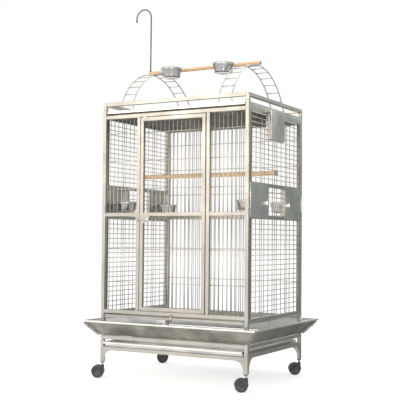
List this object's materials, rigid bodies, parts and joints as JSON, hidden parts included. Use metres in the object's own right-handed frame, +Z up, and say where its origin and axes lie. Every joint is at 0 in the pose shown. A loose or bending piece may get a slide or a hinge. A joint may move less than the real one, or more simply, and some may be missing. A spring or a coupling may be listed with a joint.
{
  "type": "play top bird cage",
  "caption": "Stainless steel parrot cage on a caster stand, with a swing front door, feeder doors, a seed skirt, slide-out trays and a play top with arched ladders and a perch.",
  "frame": {"origin": "on the floor under the middle of the seed skirt's rim, which is the middle of the cage frame", "axes": "+X to the right as seen from the front, +Y to the rear, +Z up; the front door faces -Y"},
  "size_m": [1.066, 0.863, 2.1566],
  "materials": {
    "steel": "satin",
    "bright_steel": "polished",
    "dark_hardware": "satin",
    "wood": "sanded",
    "caster_plastic": "moulded",
    "wheel_tread": "matte"
  },
  "bodies": {
    "cage": {"corner_posts": "steel", "door_jambs": "steel", "front_left_grille": "steel", "front_rails": "steel", "front_right_grille": "steel", "inner_perch": "wood", "inner_perch_bolts": "steel", "ladder_rails": "steel", "ladder_rungs": "steel", "latch_keeper": "steel", "left_side_frame": "steel", "left_side_grille": "steel", "nest_door_surround": "steel", "play_top_frame": "steel", "rear_grille": "steel", "rear_rails": "steel", "right_side_frame": "steel", "right_side_grille": "steel", "roof_grille": "steel", "seed_skirt_front_and_rear": "steel", "seed_skirt_sides": "steel", "side_door_hinge_pins": "steel", "stand_legs": "steel", "stand_rails": "steel", "top_bowl_holders": "steel", "top_perch": "wood", "top_perch_fittings": "steel", "tray_runners": "steel"},
    "front_door": {"front_door_frame": "steel", "front_door_grille": "steel", "latch_body": "steel"},
    "door_bolt": {"latch_bolt": "dark_hardware"},
    "nest_door": {"nest_door": "steel"},
    "nest_door_bolt": {"nest_bolt": "dark_hardware"},
    "bottom_tray": {"bottom_tray": "bright_steel"},
    "top_tray": {"top_tray": "bright_steel"},
    "floor_grate": {"floor_grate": "steel"},
    "toy_hook": {"toy_hook": "steel"},
    "top_bowl_left": {"top_bowl_left": "bright_steel"},
    "top_bowl_right": {"top_bowl_right": "bright_steel"},
    "feeder_door_left_front": {"feeder_door_left_front": "steel"},
    "feeder_bowl_left_front": {"feeder_bowl_left_front": "bright_steel"},
    "feeder_latch_left_front": {"feeder_latch_left_front": "dark_hardware"},
    "caster_front_left_swivel": {"caster_front_left_hood": "caster_plastic"},
    "caster_front_left_wheels": {"caster_front_left_wheels": "wheel_tread"},
    "feeder_door_left_rear": {"feeder_door_left_rear": "steel"},
    "feeder_bowl_left_rear": {"feeder_bowl_left_rear": "bright_steel"},
    "feeder_latch_left_rear": {"feeder_latch_left_rear": "dark_hardware"},
    "caster_rear_left_swivel": {"caster_rear_left_hood": "caster_plastic"},
    "caster_rear_left_wheels": {"caster_rear_left_wheels": "wheel_tread"},
    "feeder_door_right_front": {"feeder_door_right_front": "steel"},
    "feeder_bowl_right_front": {"feeder_bowl_right_front": "bright_steel"},
    "feeder_latch_right_front": {"feeder_latch_right_front": "dark_hardware"},
    "caster_front_right_swivel": {"caster_front_right_hood": "caster_plastic"},
    "caster_front_right_wheels": {"caster_front_right_wheels": "wheel_tread"},
    "feeder_door_right_rear": {"feeder_door_right_rear": "steel"},
    "feeder_bowl_right_rear": {"feeder_bowl_right_rear": "bright_steel"},
    "feeder_latch_right_rear": {"feeder_latch_right_rear": "dark_hardware"},
    "caster_rear_right_swivel": {"caster_rear_right_hood": "caster_plastic"},
    "caster_rear_right_wheels": {"caster_rear_right_wheels": "wheel_tread"}
  },
  "joints": [
    {"name": "front_door_hinge", "type": "hinge", "parent": "cage", "child": "front_door", "pos_m": [0.1925, -0.3455, 0.9], "axis": [0, 0, 1], "range_deg": [0, 105]},
    {"name": "door_bolt_slide", "type": "slide", "parent": "front_door", "child": "door_bolt", "axis": [-1, 0, 0], "range_m": [0, 0.022]},
    {"name": "feeder_door_left_front_hinge", "type": "hinge", "parent": "cage", "child": "feeder_door_left_front", "pos_m": [-0.461, -0.341, 0.981], "axis": [0, 0, 1], "range_deg": [0, 115]},
    {"name": "feeder_bowl_left_front_lift", "type": "slide", "parent": "feeder_door_left_front", "child": "feeder_bowl_left_front", "axis": [0, 0, 1], "range_m": [0, 0.06]},
    {"name": "feeder_latch_left_front_turn", "type": "hinge", "parent": "feeder_door_left_front", "child": "feeder_latch_left_front", "pos_m": [-0.457, -0.147, 0.97], "axis": [1, 0, 0], "range_deg": [0, 90]},
    {"name": "feeder_door_left_rear_hinge", "type": "hinge", "parent": "cage", "child": "feeder_door_left_rear", "pos_m": [-0.461, 0.341, 0.981], "axis": [0, 0, -1], "range_deg": [0, 115]},
    {"name": "feeder_bowl_left_rear_lift", "type": "slide", "parent": "feeder_door_left_rear", "child": "feeder_bowl_left_rear", "axis": [0, 0, 1], "range_m": [0, 0.06]},
    {"name": "feeder_latch_left_rear_turn", "type": "hinge", "parent": "feeder_door_left_rear", "child": "feeder_latch_left_rear", "pos_m": [-0.457, 0.147, 0.97], "axis": [-1, 0, 0], "range_deg": [0, 90]},
    {"name": "feeder_door_right_front_hinge", "type": "hinge", "parent": "cage", "child": "feeder_door_right_front", "pos_m": [0.461, -0.341, 0.981], "axis": [0, 0, -1], "range_deg": [0, 115]},
    {"name": "feeder_bowl_right_front_lift", "type": "slide", "parent": "feeder_door_right_front", "child": "feeder_bowl_right_front", "axis": [0, 0, 1], "range_m": [0, 0.06]},
    {"name": "feeder_latch_right_front_turn", "type": "hinge", "parent": "feeder_door_right_front", "child": "feeder_latch_right_front", "pos_m": [0.457, -0.147, 0.97], "axis": [1, 0, 0], "range_deg": [0, 90]},
    {"name": "feeder_door_right_rear_hinge", "type": "hinge", "parent": "cage", "child": "feeder_door_right_rear", "pos_m": [0.461, 0.341, 0.981], "axis": [0, 0, 1], "range_deg": [0, 115]},
    {"name": "feeder_bowl_right_rear_lift", "type": "slide", "parent": "feeder_door_right_rear", "child": "feeder_bowl_right_rear", "axis": [0, 0, 1], "range_m": [0, 0.06]},
    {"name": "feeder_latch_right_rear_turn", "type": "hinge", "parent": "feeder_door_right_rear", "child": "feeder_latch_right_rear", "pos_m": [0.457, 0.147, 0.97], "axis": [-1, 0, 0], "range_deg": [0, 90]},
    {"name": "nest_door_hinge", "type": "hinge", "parent": "cage", "child": "nest_door", "pos_m": [0.461, 0.062, 1.379], "axis": [0, 0, 1], "range_deg": [0, 115]},
    {"name": "nest_bolt_slide", "type": "slide", "parent": "cage", "child": "nest_door_bolt", "axis": [0, 1, 0], "range_m": [0, 0.014]},
    {"name": "bottom_tray_slide", "type": "slide", "parent": "cage", "child": "bottom_tray", "axis": [0, -1, 0], "range_m": [0, 0.5]},
    {"name": "top_tray_slide", "type": "slide", "parent": "cage", "child": "top_tray", "axis": [0, -1, 0], "range_m": [0, 0.5]},
    {"name": "floor_grate_slide", "type": "slide", "parent": "cage", "child": "floor_grate", "axis": [0, -1, 0], "range_m": [0, 0.5]},
    {"name": "toy_hook_swivel", "type": "hinge", "parent": "cage", "child": "toy_hook", "pos_m": [-0.371, 0, 1.762], "axis": [0, 0, 1], "continuous": true},
    {"name": "top_bowl_left_lift", "type": "slide", "parent": "cage", "child": "top_bowl_left", "axis": [0, 0, 1], "range_m": [0, 0.08]},
    {"name": "caster_front_left_swivel", "type": "hinge", "parent": "cage", "child": "caster_front_left_swivel", "pos_m": [-0.447, -0.3455, 0.08], "axis": [0, 0, 1], "continuous": true},
    {"name": "caster_front_left_roll", "type": "hinge", "parent": "caster_front_left_swivel", "child": "caster_front_left_wheels", "pos_m": [-0.46974, -0.35811, 0.034], "axis": [0.4848, -0.8746, 0], "continuous": true},
    {"name": "caster_rear_left_swivel", "type": "hinge", "parent": "cage", "child": "caster_rear_left_swivel", "pos_m": [-0.447, 0.3455, 0.08], "axis": [0, 0, 1], "continuous": true},
    {"name": "caster_rear_left_roll", "type": "hinge", "parent": "caster_rear_left_swivel", "child": "caster_rear_left_wheels", "pos_m": [-0.46974, 0.33289, 0.034], "axis": [0.4848, -0.8746, 0], "continuous": true},
    {"name": "top_bowl_right_lift", "type": "slide", "parent": "cage", "child": "top_bowl_right", "axis": [0, 0, 1], "range_m": [0, 0.08]},
    {"name": "caster_front_right_swivel", "type": "hinge", "parent": "cage", "child": "caster_front_right_swivel", "pos_m": [0.447, -0.3455, 0.08], "axis": [0, 0, 1], "continuous": true},
    {"name": "caster_front_right_roll", "type": "hinge", "parent": "caster_front_right_swivel", "child": "caster_front_right_wheels", "pos_m": [0.42426, -0.35811, 0.034], "axis": [0.4848, -0.8746, 0], "continuous": true},
    {"name": "caster_rear_right_swivel", "type": "hinge", "parent": "cage", "child": "caster_rear_right_swivel", "pos_m": [0.447, 0.3455, 0.08], "axis": [0, 0, 1], "continuous": true},
    {"name": "caster_rear_right_roll", "type": "hinge", "parent": "caster_rear_right_swivel", "child": "caster_rear_right_wheels", "pos_m": [0.42426, 0.33289, 0.034], "axis": [0.4848, -0.8746, 0], "continuous": true}
  ]
}
